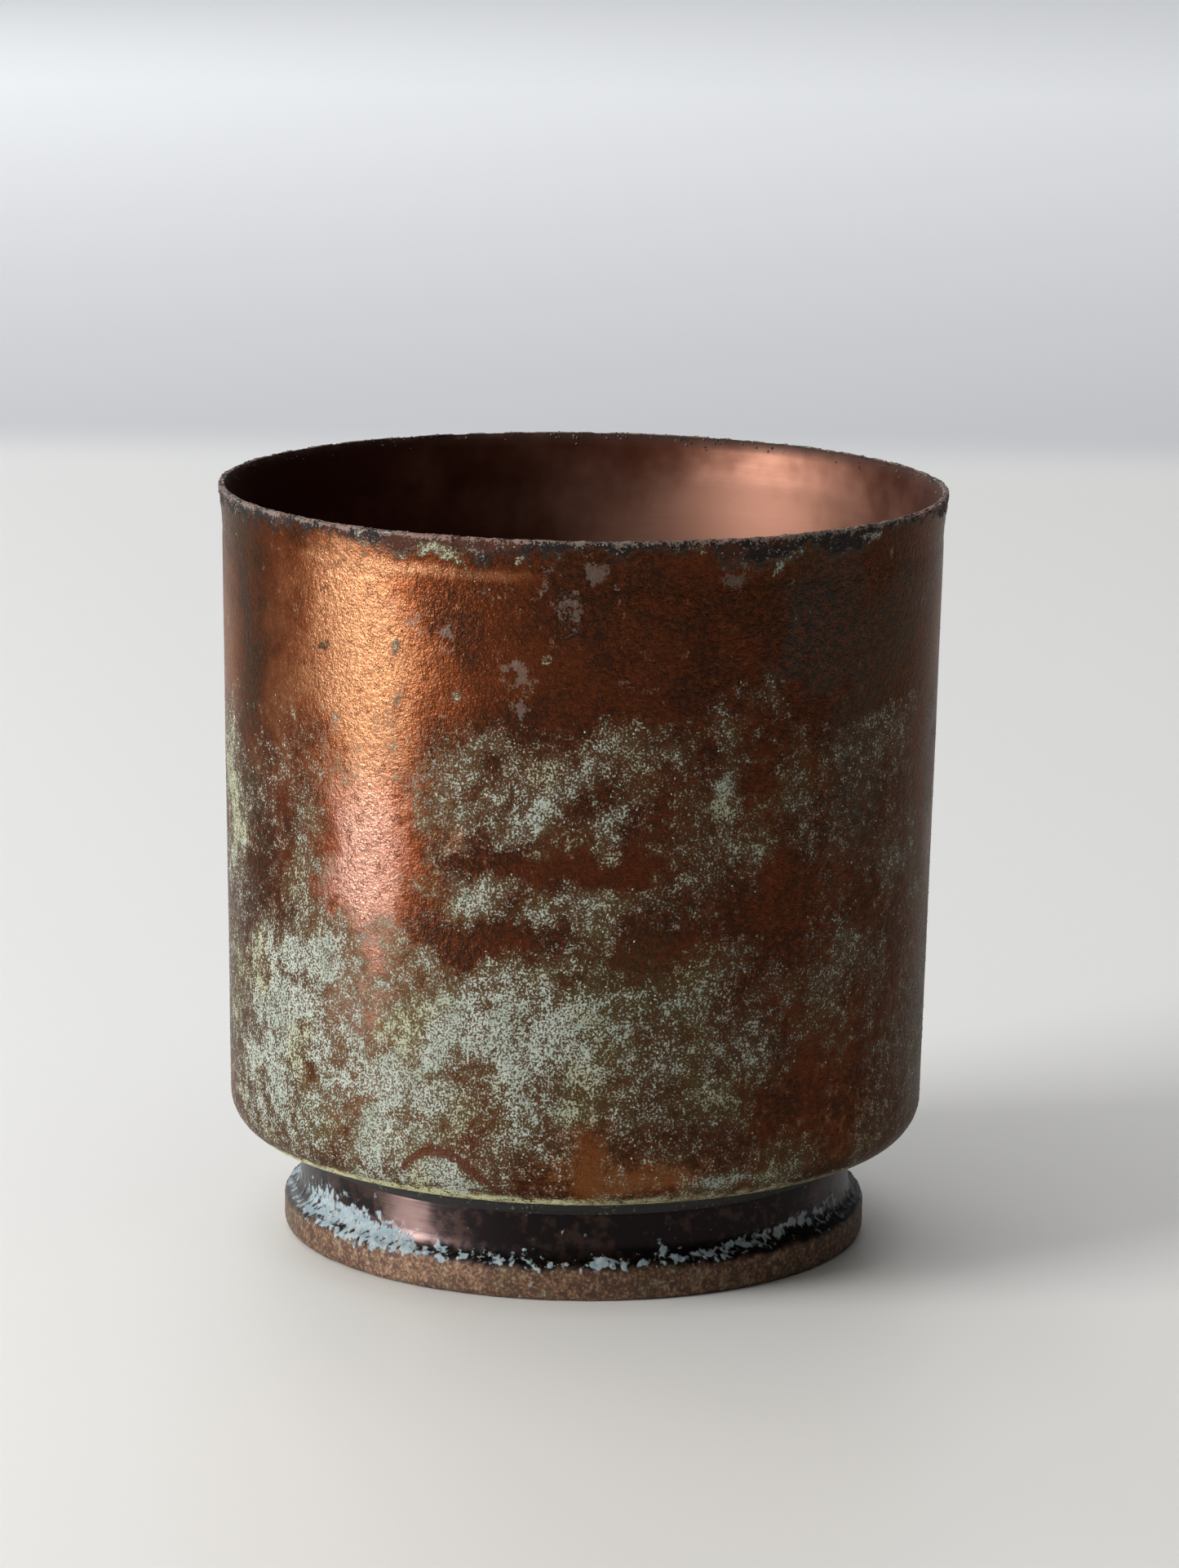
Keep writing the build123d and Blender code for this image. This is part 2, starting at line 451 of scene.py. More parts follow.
def wall_masks(skin):
    """What the cup's sheet carries at each point, worked out from the marks above."""
    drift = clouds(skin.points, 9.0, 1)
    fray = clouds(skin.points, 2.6, 2)
    angle = skin.angle + drift * 3.0 + fray * 1.6
    height = skin.height + clouds(skin.points, 7.0, 3) * 1.8 + fray * 1.2
    outside = np.where(skin.side == OUTSIDE, 1.0, 0.0)
    inside = np.where(skin.side == INSIDE, 1.0, 0.0)

    def marked(marks):
        return patches(angle, height, marks, HEEL_RADIUS)

    crust, singe = rim_masks(skin)
    # Painted highlight: bright copper just under the rim on the front left, where the flared lip
    # reflects the window.
    lip_highlight = 0.55 * hill(skin.angle, LIP_HIGHLIGHT_ANGLE, LIP_HIGHLIGHT_WIDTH, 4)
    lip_highlight *= hill(skin.height + 0.3 * fray, LIP_HIGHLIGHT_HEIGHT, 0.9)
    # The copper mask is worn copper and, on the front left, a painted highlight.
    copper = marked(COPPER_AND_HIGHLIGHT_MARKS) + 0.12 * drift + lip_highlight
    slate = np.maximum(ease(marked(SLATE_AND_DARK_REFLECTION_MARKS) + 0.25 * drift, 0.1, 0.9), 0.8 * singe)
    film = patches(skin.angle + fray * 1.8, skin.height + fray * 1.6, FILM_MARKS, HEEL_RADIUS)
    rosy = np.clip(marked(ROSY_AND_HIGHLIGHT_MARKS) + 0.2 * drift, 0, 1)
    verdigris = wall_verdigris(skin, marked, drift, fray)
    return {
        "verdigris": verdigris * outside + floor_residue(skin, drift) * inside,
        "crust": crust,
        "copper": np.clip(copper, 0, 1) * outside,
        "slate": slate * outside,
        "film": np.clip(film, 0, 1) * outside,
        "rust": np.clip(marked(RUST_MARKS), 0, 1) * outside,
        # The inside's rosy patch, in part a painted highlight, is weaker near the rim.
        "rosy": rosy * (0.45 + 0.55 * ease(POT_HEIGHT - skin.height, 1.5, 9.0)),
        "drip": heel_deposit_and_bounce_light(skin, drift, fray) * outside,
        "track": worm_track(skin.angle + fray * 0.4, skin.height + fray * 0.3) * outside,
    }


def cup_relief(skin, masks):
    """Outward relief in millimetres: slow waves in the sheet, crust, and a ragged mouth."""
    waves = 0.07 * clouds(skin.points, 24.0, 11, 2)
    waves -= LIP_CREASE * hill(skin.height, LIP_CREASE_HEIGHT, 0.6)
    grit = clouds(skin.points, 0.9, 12, 2)
    growth = masks["verdigris"] * (0.03 + 0.06 * grit)
    scale = masks["crust"] * (0.02 + 0.12 * clouds(skin.points, 1.3, 13, 2))
    nicks = NICK_DEPTH * ease(clouds(skin.points * (1, 1, 0), 2.6, 14, 4), 0.0, 0.55)
    relief = waves + growth + scale - 0.06 * masks["track"]
    relief = np.where(skin.side == EDGE, 0.05 * grit - 0.06 - nicks, relief)
    rings = 0.03 * np.sin(skin.radius * 2 * pi / SPINNING_RING_PITCH)
    rings *= ease(skin.radius, FLAT_RADIUS, 30.0)
    return np.where(skin.side == INSIDE, rings - waves + 0.3 * scale, relief)


# Marks on the foot
BLOOM_MARKS = [
    (-64, 6.8, 8, 2.6, 0, 0.95), (-50, 6.2, 6, 2.2, -8, 0.85), (-38, 5.6, 5, 1.6, -8, 0.8),
    (-27, 5.1, 4, 0.9, 0, 0.60), (-15, 5.2, 4, 0.9, 0, 0.55), (-9, 6.2, 1.0, 0.8, 0, 0.5),
    (-3, 4.6, 3, 0.7, 0, 0.5), (6, 5.3, 2.2, 1.1, 0, 0.75), (18, 6.6, 1.3, 1.3, 0, 0.6),
    (14, 5.0, 3, 0.6, 0, 0.5), (28, 5.6, 6, 0.8, 6, 0.65), (44, 6.4, 7, 0.9, 6, 0.7),
    (62, 6.6, 9, 1.6, 0, 0.6), (90, 5.6, 10, 1.2, 0, 0.6), (112, 6.2, 9, 2.2, 0, 0.8),
    (140, 5.2, 12, 0.9, 0, 0.6), (165, 6.0, 8, 1.8, 0, 0.75), (190, 5.0, 9, 0.9, 0, 0.5),
    (214, 6.6, 10, 2.4, 0, 0.85), (240, 5.4, 10, 1.2, 0, 0.6), (266, 6.4, 8, 2.0, 0, 0.8),
]
# Rosy patches on the neck. The first, at -35 degrees, is a painted reflection of the window.
NECK_ROSE_AND_REFLECTION_MARKS = [
    (-35, 9, 4.5, 5, 0, 0.9), (-60, 9, 3, 4, 0, 0.4), (60, 9, 6, 4, 0, 0.3), (120, 9, 6, 4, 0, 0.8),
    (185, 9, 5, 4, 0, 0.7), (250, 9, 7, 4, 0, 0.8),
]


def foot_masks(skin):
    """What the foot's sheet carries: a pale bloom along the cove, and a brown hem below it."""
    fray = clouds(skin.points, 2.2, 21)
    spots = clouds(skin.points, 1.0, 22, 2)
    outside = np.where(skin.side == OUTSIDE, 1.0, 0.0)
    angle = skin.angle + fray * 1.5
    height = skin.height + fray * 0.6
    cove = 0.12 * hill(skin.height, 5.0, 0.6)
    grown = patches(angle, height, BLOOM_MARKS, NECK_RADIUS) + cove
    bloom = ease(grown + 0.5 * spots, 0.15, 1.0)
    hem = ease(skin.height + fray * 0.5, COVE_BOTTOM + 0.3, COVE_BOTTOM - 0.8)
    # Rosy neck patches, one of them a painted reflection
    rosy = patches(angle, height, NECK_ROSE_AND_REFLECTION_MARKS, NECK_RADIUS)
    return {"bloom": bloom * outside, "hem": hem, "rosy": np.clip(rosy, 0, 1)}


def foot_relief(skin, masks):
    """Outward relief in millimetres: slow waves, knobbly bloom, and a bruised hem."""
    waves = 0.05 * clouds(skin.points, 14.0, 31, 2)
    knobs = ease(clouds(skin.points, 0.9, 32, 2), -0.35, 0.45)
    bloom = masks["bloom"] * (0.03 + 0.14 * knobs)
    bruises = masks["hem"] * 0.05 * clouds(skin.points, 2.4, 33, 3)
    return np.where(skin.side == OUTSIDE, waves + bloom + bruises, -waves)


def solder_relief(skin):
    """Outward relief of the solder: it froze in soft runs and lumps."""
    return (0.10 * clouds(skin.points * (1, 1, 0.5), 5.0, 41, 2)
            + 0.06 * clouds(skin.points, 1.5, 42, 2))


# ---------------------------------------------------------------- finishes

class Value:
    """A socket of a finish's node tree, with Python's operators for its Math nodes."""

    def __init__(self, finish, socket):
        self.finish, self.socket = finish, socket

    def math(self, operation, *values):
        sockets = dict(enumerate(values))
        return self.finish.node("ShaderNodeMath", {"operation": operation}, sockets)

    def __add__(self, other):
        return self.math("ADD", self, other)

    def __sub__(self, other):
        return self.math("SUBTRACT", self, other)

    def __rsub__(self, other):
        return self.math("SUBTRACT", other, self)

    def __mul__(self, other):
        return self.math("MULTIPLY", self, other)

    __radd__ = __add__
    __rmul__ = __mul__


class Finish:
    """A material being built. node() adds any node, and the rest are short forms of it."""

    def __init__(self, name):
        self.material = bpy.data.materials.new(name)
        self.material.use_nodes = True
        self.tree = self.material.node_tree
        self.tree.nodes.clear()

    def node(self, kind, settings, sockets, output=0):
        """Adds a node of this type: its settings first, then its sockets' values and links."""
        node = self.tree.nodes.new(kind)
        for setting, value in settings.items():
            setattr(node, setting, value)
        for socket, value in sockets.items():
            if isinstance(value, Value):
                self.tree.links.new(value.socket, node.inputs[socket])
            else:
                node.inputs[socket].default_value = value
        return Value(self, node.outputs[output]) if node.outputs else None

    def place(self, stretch=(1, 1, 1)):
        """The point on the piece, in metres from the pot's origin, stretched if asked."""
        place = self.node("ShaderNodeTexCoord", {}, {}, "Object")
        if stretch == (1, 1, 1):
            return place
        return self.node("ShaderNodeMapping", {}, {"Vector": place, "Scale": stretch})

    def place_height(self):
        """Height above the table, in metres."""
        return self.node("ShaderNodeSeparateXYZ", {}, {"Vector": self.place()}, "Z")

    def mask(self, name):
        return self.node("ShaderNodeAttribute", {"attribute_name": name}, {}, "Fac")

    def noise(self, size, detail=2.0, stretch=(1, 1, 1), rough=0.5):
        """Noise from about 0 to 1 with features of this size in millimetres."""
        sockets = {"Vector": self.place(stretch), "Scale": 1 / (size * MM)}
        sockets.update({"Detail": detail, "Roughness": rough})
        return self.node("ShaderNodeTexNoise", {}, sockets, "Fac")

    def ramp(self, value, low, high, curve="SMOOTHSTEP"):
        """0 where value is low, 1 where it is high. low may be above high."""
        sockets = {"Value": value, "From Min": low, "From Max": high}
        return self.node("ShaderNodeMapRange", {"interpolation_type": curve}, sockets)

    def clamp(self, value):
        return self.ramp(value, 0.0, 1.0, "LINEAR")

    def mix(self, share, first, second):
        """first where share is 0, second where it is 1: two colours."""
        colours = [(*c, 1.0) if isinstance(c, tuple) else c for c in (first, second)]
        sockets = {0: share, 6: colours[0], 7: colours[1]}
        return self.node("ShaderNodeMix", {"data_type": "RGBA"}, sockets, 2)

    def bump(self, height, strength, depth):
        """A normal from a height, whose range is depth millimetres."""
        sockets = {"Height": height, "Strength": strength, "Distance": depth * MM}
        return self.node("ShaderNodeBump", {}, sockets)

    def done(self, colour, roughness, metallic, normal, sheen=None):
        """Ends the material. sheen holds the shader's values that don't vary over the piece."""
        sockets = {"Base Color": colour, "Roughness": roughness, "Metallic": metallic}
        sockets["Normal"] = normal
        sockets.update(sheen or {})
        surface = self.node("ShaderNodeBsdfPrincipled", {}, sockets)
        self.node("ShaderNodeOutputMaterial", {}, {"Surface": surface})
        return self.material


COPPER_GOLD = (0.350, 0.160, 0.078)
COPPER_ROSE = (0.365, 0.195, 0.145)
OXIDE_RED = (0.075, 0.022, 0.010)
OXIDE_ORANGE = (0.165, 0.040, 0.012)
OXIDE_UMBER = (0.040, 0.017, 0.010)
SLATE_OXIDE_AND_DARK_REFLECTION = (0.037, 0.033, 0.027)
OXIDE_OLIVE = (0.044, 0.036, 0.019)
SCALE_BLACK = (0.014, 0.011, 0.010)
SCALE_TAN = (0.170, 0.130, 0.105)
SCALE_PINK = (0.210, 0.135, 0.110)
RUST_ORANGE = (0.210, 0.075, 0.024)
GROUND_BROWN = (0.086, 0.048, 0.020)
GROUND_OLIVE = (0.078, 0.058, 0.019)
VERDIGRIS_MINT = (0.310, 0.352, 0.290)
VERDIGRIS_PALE = (0.385, 0.415, 0.355)
VERDIGRIS_SHADE = (0.150, 0.125, 0.090)
VERDIGRIS_YELLOW = (0.360, 0.350, 0.200)
# Pale yellow of the heel's deposit, brightened as painted bounce light
DEPOSIT_AND_BOUNCE_YELLOW = (0.600, 0.600, 0.340)
FILM_GREY = (0.190, 0.145, 0.115)
# Inside colours: rosy for blotches and the painted highlight, dark brown partly as painted shade
INSIDE_ROSE_AND_HIGHLIGHT = (0.390, 0.190, 0.130)
INSIDE_BROWN_AND_SHADE = (0.090, 0.028, 0.016)
NECK_BLACK = (0.020, 0.015, 0.016)
NECK_BROWN = (0.062, 0.038, 0.030)
NECK_ROSE_AND_REFLECTION = (0.170, 0.110, 0.100)
HEM_BROWN = (0.215, 0.108, 0.055)
HEM_DUST = (0.270, 0.260, 0.215)
HEM_DARK = (0.075, 0.038, 0.024)
BLOOM_BLUE = (0.220, 0.290, 0.318)
BLOOM_WHITE = (0.325, 0.360, 0.368)
# Solder, darkened as painted shade for the gap under the cup
SOLDER_SHADED_GREY = (0.036, 0.033, 0.029)
SOLDER_SHADED_DARK = (0.015, 0.013, 0.012)

# Heights above the table, in metres, between which a colour turns
GOLD_TO_ROSE = (0.078, 0.062)
RIM_TOP = (0.1036, 0.1043)
DEEP_INSIDE = (0.060, 0.015)

# Spinning marks run round the pot, so their noise is squeezed in height.
SPIN_STRETCH = (1, 1, 26)

# Values of the shader that don't vary over a piece
SPUN_SHEEN = {"Anisotropic": 0.4, "Anisotropic Rotation": 0.25}
AGED_SHEEN = {**SPUN_SHEEN, "Specular Tint": (0.66, 0.60, 0.56, 1.0), "Specular IOR Level": 0.3}


def verdigris_colour(finish, bright):
    """Blue-green, yellower in places, and paler where a grain is thick."""
    tone = finish.noise(5.0, 3.0)
    colour = finish.mix(finish.ramp(tone, 0.38, 0.62), VERDIGRIS_MINT, VERDIGRIS_PALE)
    yellow = finish.ramp(finish.noise(9.0, 2.0), 0.50, 0.66)
    colour = finish.mix(yellow * 0.65, colour, VERDIGRIS_YELLOW)
    return finish.mix(bright, VERDIGRIS_SHADE, colour)


class CupPatina(Finish):
    """The cup's outside. Each method lays one coat over the colour below it."""

    def __init__(self, name):
        super().__init__(name)
        self.grain = self.noise(0.28, 1.0)
        self.fine = self.noise(0.18, 1.0)
        self.pebble = self.noise(0.7, 2.0, rough=0.7)
        self.clump = self.noise(1.5, 3.0, rough=0.6)
        self.cloud = self.noise(9.0, 4.0, rough=0.6)
        self.broad = self.noise(30.0, 2.0)
        self.pits = self.ramp(self.fine * 0.55 + self.clump * 0.45, 0.43, 0.37)
        self.cover = self.mask("verdigris")
        self.ground = self.ramp(self.cover + self.drift(0.5, 0.4), 0.04, 0.50) * 0.8

    def drift(self, of_cloud, of_clump):
        """Noise round 0, which frays the edge of what it is added to."""
        return (self.cloud - 0.5) * of_cloud + (self.clump - 0.5) * of_clump

    def bare_metal(self):
        """Copper where it is worn bright and where its painted highlight lies, gold above and rosy
        below, among its brown oxides.
        """
        rosy = self.ramp(self.place_height(), *GOLD_TO_ROSE)
        copper = self.mix(rosy, COPPER_GOLD, COPPER_ROSE)
        oxide = self.mix(self.ramp(self.cloud, 0.42, 0.60), OXIDE_UMBER, OXIDE_RED)
        oxide = self.mix(self.ramp(self.broad, 0.55, 0.72) * 0.6, oxide, OXIDE_OLIVE)
        # Worn copper, and a painted highlight on the front left
        copper_and_highlight = self.mask("copper")
        warm = self.ramp(copper_and_highlight + (self.cloud - 0.5) * 0.6, 0.11, 0.52)
        oxide = self.mix(warm * 0.8, oxide, OXIDE_ORANGE)
        metal = self.mix(self.ramp(copper_and_highlight + self.drift(0.35, 0.3), 0.25, 0.90), oxide, copper)
        # Dark grey oxide, with a painted dark reflection stripe on the upper left
        slate = self.ramp(self.mask("slate") + self.drift(0.9, 0.4), 0.25, 0.8)
        metal = self.mix(slate * 0.85, metal, SLATE_OXIDE_AND_DARK_REFLECTION)
        metal = self.mix(self.ramp(self.pebble, 0.54, 0.42) * 0.35, metal, OXIDE_ORANGE)
        return self.mix(self.pits * 0.7, metal, OXIDE_UMBER)

    def stain(self, metal):
        """The brown and rusty ground that verdigris grows on."""
        olive = self.ramp(self.cloud * 0.5 + self.broad * 0.5, 0.48, 0.60)
        colour = self.mix(self.ground, metal, self.mix(olive, GROUND_BROWN, GROUND_OLIVE))
        rusty = self.mask("rust") + (self.clump - 0.5) * 1.8 + (self.grain - 0.5) * 1.0
        return self.mix(self.ramp(rusty, 0.15, 0.9) * 0.8, colour, RUST_ORANGE)

    def verdigris(self, stained):
        """A thin haze with crisp grains over it, some in shade and some pale."""
        streak = self.noise(0.8, 2.0, stretch=(6, 6, 1))
        there = self.ramp(self.cover + (self.clump - 0.5) * 0.35, 0.02, 0.20)
        thick = self.cover + (streak - 0.5) * 0.45 + self.drift(0.5, 1.1)
        share = self.ramp(thick, 0.0, 0.85, "LINEAR")
        grown = self.grain * 0.60 + self.fine * 0.20 + self.clump * 0.20
        self.speckle = self.ramp(grown + share * 0.125, 0.565, 0.645) * there
        self.bright = self.ramp(grown + share * 0.23, 0.63, 0.78)
        haze = self.ramp(thick + (self.pebble - 0.5) * 0.4, 0.45, 1.10) * there
        colour = self.mix(haze * 0.45, stained, VERDIGRIS_SHADE)
        colour = self.mix(self.speckle, colour, verdigris_colour(self, self.bright))
        track = self.ramp(self.mask("track"), 0.15, 0.50)
        return self.mix(track * 0.9, colour, OXIDE_RED)

    def deposit_and_bounce_band(self, colour):
        """The yellow-green deposit on the low edge of the wall, made pale as painted bounce light."""
        self.drip = self.mask("drip")
        broken = self.ramp(self.grain * 0.5 + self.clump * 0.5, 0.40, 0.52)
        return self.mix(self.drip * broken, colour, DEPOSIT_AND_BOUNCE_YELLOW)

    def grey_film(self, colour):
        """Thin flakes of a dull grey film."""
        film = self.mask("film") + (self.clump - 0.5) * 1.5 + (self.grain - 0.5) * 0.7
        flecks = self.ramp(self.pebble * 0.6 + self.grain * 0.4, 0.63, 0.70) * 0.45
        self.film = self.clamp(self.ramp(film, 0.40, 0.62) + flecks)
        return self.mix(self.film * (0.35 + self.clump * 0.3), colour, FILM_GREY)

    def rim_scale(self, colour):
        """The black scale of the rim, with its paler crumbs."""
        crust = self.ramp(self.mask("crust") + (self.clump - 0.5) * 0.9, 0.40, 0.60)
        self.crust = crust * (1 - self.ramp(self.cover, 0.5, 0.9) * 0.9)
        edge = self.ramp(self.place_height(), *RIM_TOP) * 0.13
        crumb = self.ramp(self.grain * 0.45 + self.clump * 0.55 + edge, 0.565, 0.64)
        black = self.mix(self.ramp(self.cloud, 0.50, 0.56) * 0.7, SCALE_BLACK, OXIDE_RED)
        pale = self.mix(self.ramp(self.cloud, 0.4, 0.6), SCALE_TAN, SCALE_PINK)
        return self.mix(self.crust, colour, self.mix(crumb, black, pale))


def patinated_copper():
    """Brown oxide over copper, speckled with verdigris below the tide line."""
    finish = CupPatina("patinated_copper")
    colour = finish.verdigris(finish.stain(finish.bare_metal()))
    colour = finish.rim_scale(finish.grey_film(finish.deposit_and_bounce_band(colour)))
    coats = finish.speckle + finish.crust + finish.drip
    matt = finish.clamp(coats + finish.film * 0.5 + finish.ground * 0.5)
    roughness = 0.33 + (finish.cloud - 0.5) * 0.15 + (finish.grain - 0.5) * 0.30 + matt * 0.45
    metallic = 1.0 - finish.clamp(coats + finish.film * 0.4 + finish.ground * 0.55)
    height = finish.grain * 0.7 + finish.pebble * 1.6 + finish.bright * finish.speckle * 0.5
    height = height + finish.crust * finish.clump * 1.5 - finish.pits * 0.5
    normal = finish.bump(height, 0.8, 0.10)
    return finish.done(colour, roughness, metallic, normal, AGED_SHEEN)


def inner_copper():
    """The cup's inside: dark brown copper with rosy blotches. The big rosy patch on the back right is
    a painted highlight where the window reflects, and the dark brown is partly painted shade.
    """
    finish = Finish("inner_copper")
    cloud = finish.noise(16.0, 3.0)
    broad = finish.noise(45.0, 2.0)
    clump = finish.noise(2.0, 3.0)
    spin = finish.noise(9.0, 3.0, stretch=SPIN_STRETCH)
    grain = finish.noise(0.5, 2.0)
    mottle = cloud * 0.5 + broad * 0.4 + clump * 0.1
    rosy_and_highlight_blotch = finish.ramp(finish.mask("rosy") + (mottle - 0.5) * 1.6, 0.0, 0.75)
    colour = finish.mix(rosy_and_highlight_blotch, INSIDE_BROWN_AND_SHADE, INSIDE_ROSE_AND_HIGHLIGHT)
    deep = finish.ramp(finish.place_height(), *DEEP_INSIDE)
    colour = finish.mix(deep * 0.6, colour, OXIDE_UMBER)
    cover = finish.mask("verdigris")
    grown = grain * 0.7 + clump * 0.3 + (cover - 0.5) * 0.3
    residue = finish.ramp(grown, 0.50, 0.58) * finish.ramp(cover, 0.05, 0.30)
    colour = finish.mix(finish.ramp(cover, 0.10, 0.60) * 0.6, colour, GROUND_BROWN)
    colour = finish.mix(residue * 0.8, colour, verdigris_colour(finish, 0.7))
    edge = finish.clamp(finish.mask("crust") + residue)
    colour = finish.mix(finish.mask("crust"), colour, OXIDE_UMBER)
    roughness = 0.58 + (0.5 - rosy_and_highlight_blotch) * 0.12 + (spin - 0.5) * 0.1 + edge * 0.3
    metallic = 1.0 - edge * 0.7
    normal = finish.bump(spin * 0.3 + grain * 0.4 + clump * 0.3, 0.35, 0.05)
    return finish.done(colour, roughness, metallic, normal, SPUN_SHEEN)


class FootPatina(Finish):
    """The foot's outside, with a method for each of its bands."""

    def __init__(self, name):
        super().__init__(name)
        self.grain = self.noise(0.45, 2.0)
        self.blob = self.noise(1.1, 1.0)
        self.clump = self.noise(1.5, 3.0, rough=0.6)
        self.cloud = self.noise(8.0, 3.0)
        self.spin = self.noise(6.0, 3.0, stretch=SPIN_STRETCH)

    def neck(self):
        """Purple black, rosier where it is worn, and rosy at the front left as a painted reflection
        of the window.
        """
        worn_and_reflection = self.mask("rosy") + self.cloud * 0.7 + self.spin * 0.5 - 0.6
        mottled = self.ramp(self.clump * 0.6 + self.cloud * 0.4, 0.48, 0.60)
        colour = self.mix(mottled * 0.7, NECK_BLACK, NECK_BROWN)
        return self.mix(self.ramp(worn_and_reflection, 0.1, 0.9), colour, NECK_ROSE_AND_REFLECTION)

    def hem(self):
        """Brown with dark speckles, olive in places, and dusty in its grain."""
        speckled = self.ramp(self.grain * 0.5 + self.clump * 0.5, 0.44, 0.56)
        colour = self.mix(speckled, HEM_DARK, HEM_BROWN)
        olive = self.ramp(self.cloud * 0.5 + self.clump * 0.5, 0.50, 0.58)
        colour = self.mix(olive * 0.6, colour, GROUND_OLIVE)
        dust = self.ramp(self.grain * 0.6 + self.clump * 0.4, 0.56, 0.62)
        return self.mix(dust * 0.6, colour, HEM_DUST)

    def bloom(self):
        """How much of the pale bloom there is: ragged spots of it in the cove."""
        there = self.mask("bloom")
        spotted = there + (self.blob - 0.5) * 2.2 + (self.grain - 0.5) * 1.2
        return self.ramp(spotted, 0.34, 0.86) * self.ramp(there, 0.03, 0.15)


def blackened_copper():
    """The foot: a purple-black neck, a pale bloom in the cove and a brown hem."""
    finish = FootPatina("blackened_copper")
    hem = finish.mask("hem")
    bloom = finish.bloom()
    pale = finish.mix(finish.ramp(finish.clump, 0.40, 0.62), BLOOM_BLUE, BLOOM_WHITE)
    colour = finish.mix(bloom, finish.mix(hem, finish.neck(), finish.hem()), pale)
    roughness = 0.40 + (finish.spin - 0.5) * 0.12 + hem * 0.25 + bloom * 0.4
    metallic = 1.0 - finish.clamp(hem * 0.6 + bloom)
    height = finish.spin * 0.1 + finish.grain * 0.4 * (hem + bloom) + bloom * 0.4
    normal = finish.bump(height, 0.5, 0.10)
    return finish.done(colour, roughness, metallic, normal, SPUN_SHEEN)


def dull_solder():
    """Soft solder, darkened to near black as painted shade under the cup, a little lighter where it
    is bare.
    """
    finish = Finish("dull_solder")
    clump = finish.noise(1.8, 3.0, rough=0.6)
    grain = finish.noise(0.4, 2.0)
    bare = finish.ramp(clump, 0.50, 0.66)
    colour = finish.mix(bare, SOLDER_SHADED_DARK, SOLDER_SHADED_GREY)
    green = finish.ramp(grain * 0.5 + clump * 0.5, 0.58, 0.66)
    colour = finish.mix(green * 0.5, colour, VERDIGRIS_MINT)
    roughness = 0.62 - bare * 0.15
    metallic = bare * 0.7
    normal = finish.bump(clump * 0.6 + grain * 0.4, 0.5, 0.12)
    return finish.done(colour, roughness, metallic, normal)


def crumb_finish(name, pale, dark, size):
    """Loose grains of one mineral, each a little paler or darker than the next."""
    finish = Finish(name)
    tone = finish.ramp(finish.noise(size, 2.0), 0.40, 0.60)
    colour = finish.mix(tone, dark, pale)
    grain = finish.noise(0.15, 2.0)
    normal = finish.bump(grain, 0.4, 0.03)
    return finish.done(colour, 0.85 + (grain - 0.5) * 0.2, 0.0, normal)


# ---------------------------------------------------------------- scattered grains

def tree_node(tree, kind, settings, sockets):
    """Adds a node to a tree: its settings first, then its sockets' values and links."""
    node = tree.nodes.new(kind)
    for setting, value in settings.items():
        setattr(node, setting, value)
    for socket, value in sockets.items():
        if isinstance(value, bpy.types.NodeSocket):
            tree.links.new(value, node.inputs[socket])
        else:
            node.inputs[socket].default_value = value
    return node.outputs


GRAIN_TILT = 0.3
FLATTEST_GRAIN = (0.45, 0.45, 0.25)
FATTEST_GRAIN = (1.5, 1.1, 0.6)


